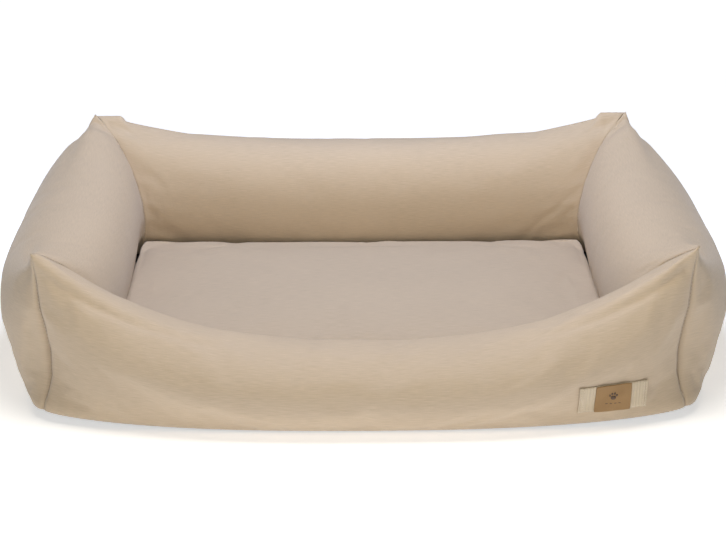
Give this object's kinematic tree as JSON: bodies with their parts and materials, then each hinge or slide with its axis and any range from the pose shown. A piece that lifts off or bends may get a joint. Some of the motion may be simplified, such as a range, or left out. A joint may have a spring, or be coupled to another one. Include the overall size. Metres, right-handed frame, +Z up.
{
  "type": "pet cushion bed",
  "caption": "Rectangular pet bed with stuffed fabric walls, a low dipped front entry, raised pinched corners and a loose flat cushion that lifts out.",
  "frame": {"origin": "middle of the underside, on the floor, under the centre of the whole bed", "axes": "+X along the bed's long side to the right as seen from the low entry, +Y from the entry towards the back wall, +Z up"},
  "size_m": [0.8996, 0.6996, 0.21],
  "materials": {
    "canvas": "matt cotton canvas, sand coloured plain weave",
    "lining_cloth": "thin matt woven lining",
    "anti_slip_cloth": "dark coarse cloth with small raised grip dots",
    "fibre_fill": "white polyester fibre wadding",
    "foam_padding": "thin pale foam sheet",
    "label_webbing": "cream ribbed cotton tape",
    "label_leather": "tan embossed leather, low sheen",
    "zip_tape": "matt woven zip tape with a nylon coil",
    "zip_metal": "satin nickel"
  },
  "bodies": {
    "bed": {"front_wall_cover": "canvas", "right_wall_cover": "canvas", "back_wall_cover": "canvas", "left_wall_cover": "canvas", "front_wall_fill": "fibre_fill", "right_wall_fill": "fibre_fill", "back_wall_fill": "fibre_fill", "left_wall_fill": "fibre_fill", "base_underside_sheet": "anti_slip_cloth", "base_padding": "foam_padding", "base_lining": "lining_cloth", "label_tape": "label_webbing", "label_patch": "label_leather", "wall_zip_tape_upper": "zip_tape", "wall_zip_tape_lower": "zip_tape"},
    "wall_zip_slider": {"wall_zip_slider": "zip_metal"},
    "wall_zip_puller": {"wall_zip_puller": "zip_metal"},
    "cushion": {"cushion_top_cover": "canvas", "cushion_bottom_cover": "canvas", "cushion_core": "fibre_fill", "cushion_zip_tape_upper": "zip_tape", "cushion_zip_tape_lower": "zip_tape"},
    "cushion_zip_slider": {"cushion_zip_slider": "zip_metal"},
    "cushion_zip_puller": {"cushion_zip_puller": "zip_metal"}
  },
  "joints": [
    {"name": "cushion_lift", "type": "slide", "parent": "bed", "child": "cushion", "axis": [0, 0, 1], "range_m": [0, 0.3]},
    {"name": "cushion_zip_slide", "type": "slide", "parent": "cushion", "child": "cushion_zip_slider", "axis": [-1, 0, 0], "range_m": [0, 0.372]},
    {"name": "cushion_zip_puller_swing", "type": "hinge", "parent": "cushion_zip_slider", "child": "cushion_zip_puller", "pos_m": [0.186, 0.208, 0.0279], "axis": [0, 0, -1], "range_deg": [0, 180]},
    {"name": "wall_zip_slide", "type": "slide", "parent": "bed", "child": "wall_zip_slider", "axis": [-1, 0, 0], "range_m": [0, 0.272]},
    {"name": "wall_zip_puller_swing", "type": "hinge", "parent": "wall_zip_slider", "child": "wall_zip_puller", "pos_m": [0.136, 0.34165, 0.02155], "axis": [0, -0.4905, -0.8714], "range_deg": [0, 180]}
  ]
}
